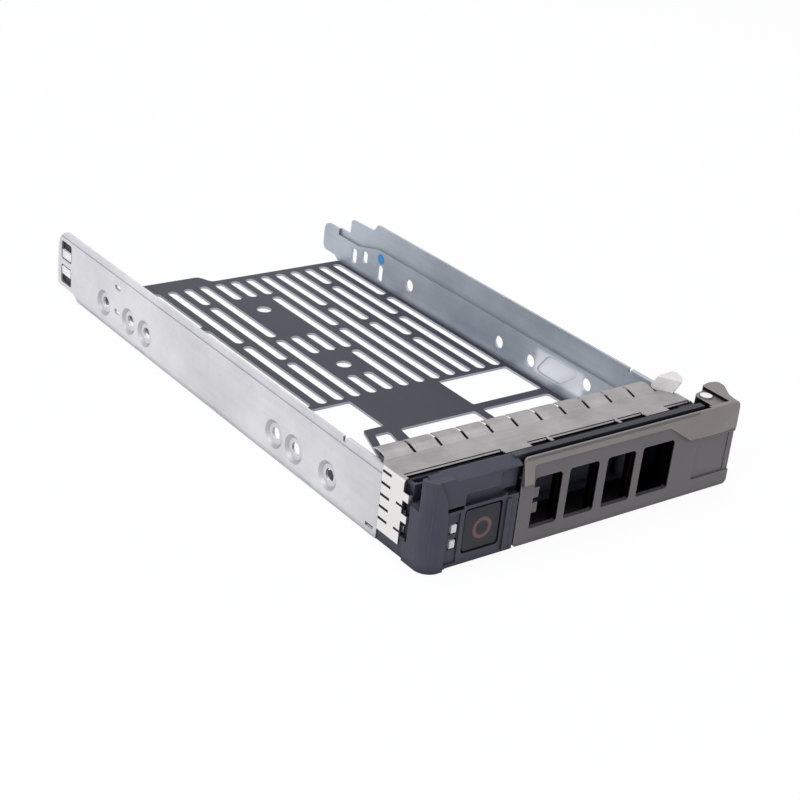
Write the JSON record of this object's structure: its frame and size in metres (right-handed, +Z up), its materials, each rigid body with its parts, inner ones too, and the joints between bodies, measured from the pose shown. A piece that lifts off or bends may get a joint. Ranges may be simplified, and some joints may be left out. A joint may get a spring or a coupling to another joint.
{
  "type": "hot swap drive caddy",
  "caption": "Open metal tray with a slotted base, side rails and a black plastic front with a push-button release and a hinged, windowed handle, for sliding a disk drive into a server.",
  "frame": {"origin": "middle of the width, on the underside of the base plate, level with the front pair of drive screw holes", "axes": "+X from the button side to the hinge side, +Y from the front bezel to the open rear, +Z up"},
  "size_m": [0.114, 0.2063, 0.0268],
  "materials": {
    "galvanised_steel": "satin zinc coat",
    "coated_plate": "dark satin coat",
    "bezel_plastic": "fine matt texture",
    "handle_plastic": "satin bronze grey",
    "spring_steel": "bright rolled",
    "pin_steel": "bright",
    "spring_wire": "drawn wire",
    "screw_steel": "zinc plated",
    "ring_print": "printed",
    "latch_plastic": "plain moulded",
    "clear_plastic": "clear moulded",
    "plug_blue": "plain moulded"
  },
  "bodies": {
    "tray": {"left_rail": "galvanised_steel", "right_rail": "galvanised_steel", "rail_plug": "plug_blue", "base_plate": "coated_plate", "bezel_body": "bezel_plastic", "emi_gasket": "spring_steel", "hinge_pin": "pin_steel", "hinge_spring": "spring_wire", "button_spring": "spring_wire", "latch_spring": "spring_wire", "latch_cover": "bezel_plastic", "upper_light_pipe": "clear_plastic", "lower_light_pipe": "clear_plastic", "light_pipe_clip": "latch_plastic", "bezel_screws": "screw_steel", "plate_screws": "screw_steel"},
    "handle": {"handle_lever": "handle_plastic"},
    "button": {"release_button": "bezel_plastic", "button_ring": "ring_print"},
    "latch": {"latch_slide": "latch_plastic"}
  },
  "joints": [
    {"name": "handle_swing", "type": "hinge", "parent": "tray", "child": "handle", "pos_m": [0.0518, -0.0361, 0], "axis": [0, 0, 1], "range_deg": [0, 50]},
    {"name": "button_press", "type": "slide", "parent": "tray", "child": "button", "axis": [0, 1, 0], "range_m": [0, 0.0025], "stiffness_N_per_m": 300, "springref_m": -0.001, "deforming": ["button_spring"]},
    {"name": "latch_draw", "type": "slide", "parent": "tray", "child": "latch", "axis": [-1, 0, 0], "range_m": [0, 0.0025], "stiffness_N_per_m": 200, "springref_m": -0.001, "deforming": ["latch_spring"]}
  ],
  "couplings": [
    {"joint": "latch_draw", "follows": "button_press", "ratio": 1}
  ]
}
